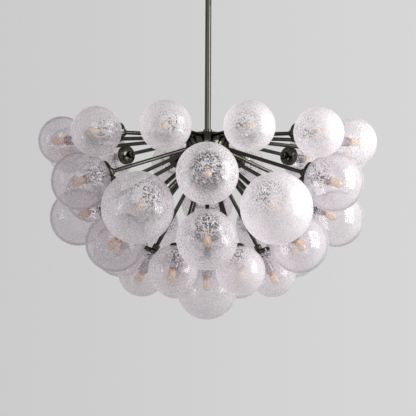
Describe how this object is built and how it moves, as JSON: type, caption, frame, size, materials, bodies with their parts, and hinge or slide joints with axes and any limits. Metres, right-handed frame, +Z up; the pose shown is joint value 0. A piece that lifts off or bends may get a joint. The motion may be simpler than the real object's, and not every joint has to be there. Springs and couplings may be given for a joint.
{
  "type": "chandelier",
  "caption": "Ceiling chandelier with seeded glass globes on straight metal arms that fan out and down from one ball hub, hung by a rigid stem and a swivel.",
  "frame": {"origin": "centre of the ceiling plate's top face, where it meets the ceiling", "axes": "+Z up, -Y towards the viewer of the front, +X to that viewer's right"},
  "size_m": [1.0394, 1.0552, 1.1293],
  "materials": {
    "seeded_glass": "clear blown glass full of small seeds and bubbles",
    "arm_metal": "polished dark nickel plate, slightly brown",
    "hub_metal": "polished dark nickel plate, slightly brown",
    "stem_metal": "polished dark nickel plate, slightly brown",
    "zinc_steel": "zinc plated",
    "cable_jacket": "matt black jacket"
  },
  "bodies": {
    "ceiling_mount": {"ceiling_plate": "zinc_steel", "mount_nipple": "zinc_steel", "nipple_nut": "zinc_steel", "swivel_nut": "zinc_steel", "canopy": "stem_metal", "canopy_ring_nut": "stem_metal"},
    "swivel": {"swivel_fork": "stem_metal", "swivel_pin": "zinc_steel", "pin_clip": "zinc_steel"},
    "fixture": {"swivel_tongue": "stem_metal", "stem_tube": "stem_metal", "stem_collar": "stem_metal", "stem_bushing": "zinc_steel", "supply_cable": "cable_jacket", "hub_rod": "zinc_steel", "hub_cover_upper": "hub_metal", "hub_cover_lower": "hub_metal", "arms_top": "arm_metal", "arms_upper": "arm_metal", "arms_middle": "arm_metal", "arms_lower": "arm_metal", "arms_inner": "arm_metal", "arm_bottom": "arm_metal", "globe_top_01": "seeded_glass", "globe_top_02": "seeded_glass", "globe_top_03": "seeded_glass", "globe_top_04": "seeded_glass", "globe_top_05": "seeded_glass", "globe_top_06": "seeded_glass", "globe_top_07": "seeded_glass", "globe_top_08": "seeded_glass", "globe_top_09": "seeded_glass", "globe_top_10": "seeded_glass", "globe_top_11": "seeded_glass", "globe_top_12": "seeded_glass", "globe_upper_01": "seeded_glass", "globe_upper_02": "seeded_glass", "globe_upper_03": "seeded_glass", "globe_upper_04": "seeded_glass", "globe_upper_05": "seeded_glass", "globe_upper_06": "seeded_glass", "globe_middle_01": "seeded_glass", "globe_middle_02": "seeded_glass", "globe_middle_03": "seeded_glass", "globe_middle_04": "seeded_glass", "globe_middle_05": "seeded_glass", "globe_middle_06": "seeded_glass", "globe_lower_01": "seeded_glass", "globe_lower_02": "seeded_glass", "globe_lower_03": "seeded_glass", "globe_lower_04": "seeded_glass", "globe_lower_05": "seeded_glass", "globe_lower_06": "seeded_glass", "globe_inner_01": "seeded_glass", "globe_inner_02": "seeded_glass", "globe_inner_03": "seeded_glass", "globe_inner_04": "seeded_glass", "globe_inner_05": "seeded_glass", "globe_inner_06": "seeded_glass", "globe_bottom": "seeded_glass"}
  },
  "joints": [
    {"name": "swivel_spin", "type": "hinge", "parent": "ceiling_mount", "child": "swivel", "pos_m": [0, 0, -0.0496], "axis": [0, 0, 1], "range_deg": [-170, 170]},
    {"name": "swivel_tilt", "type": "hinge", "parent": "swivel", "child": "fixture", "pos_m": [0, 0, -0.0676], "axis": [1, 0, 0], "range_deg": [-30, 30]}
  ]
}
